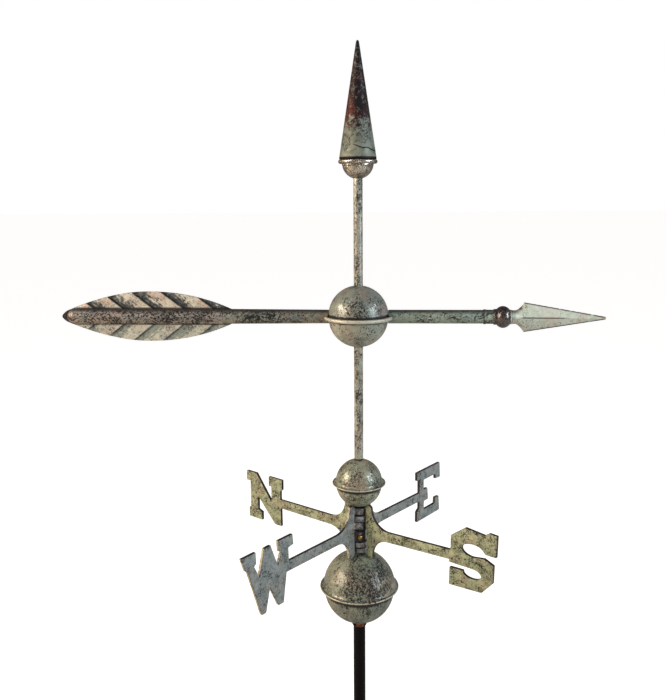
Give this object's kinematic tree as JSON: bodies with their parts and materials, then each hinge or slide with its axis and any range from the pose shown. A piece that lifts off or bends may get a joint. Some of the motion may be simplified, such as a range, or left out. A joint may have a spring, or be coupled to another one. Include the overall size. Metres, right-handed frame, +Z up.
{
  "type": "weathervane",
  "caption": "Arrow weathervane of aged copper on a steel rod: globes, compass arms, a turning arrow with a feathered tail, and a cone finial.",
  "frame": {"origin": "centre of the rod's flat lower end", "axes": "+Z up the rod, +X towards the arrow's point at rest, the arrow lying in the XZ plane"},
  "size_m": [0.718, 0.3548, 0.9994],
  "materials": {
    "patina": "copper with a pale grey-green patina",
    "patina_grey": "cast, with a grey-green patina",
    "dark_patina": "copper with a dark, mottled patina",
    "copper": "tarnished copper, half bright",
    "brass": "bright brass screw",
    "black_steel": "satin black steel"
  },
  "bodies": {
    "mast": {"mast_rod": "black_steel", "stop_collar": "copper", "collar_screw_1": "black_steel", "collar_screw_2": "black_steel", "large_globe_lower": "patina", "large_globe_upper": "patina", "hub_washer": "black_steel", "north_south_arms": "patina", "east_west_arms": "patina_grey", "hub_screw": "brass", "small_globe_lower": "patina", "small_globe_upper": "patina"},
    "vane": {"spindle_tube": "patina", "ball_lower": "patina", "ball_upper": "patina", "tail_shaft": "dark_patina", "tail_feather": "patina", "point_shaft": "patina", "point_socket": "dark_patina", "arrowhead": "patina", "finial_cup": "copper", "finial_cone": "dark_patina"}
  },
  "joints": [
    {"name": "vane_spin", "type": "hinge", "parent": "mast", "child": "vane", "pos_m": [0, 0, 0.645], "axis": [0, 0, 1], "continuous": true}
  ]
}
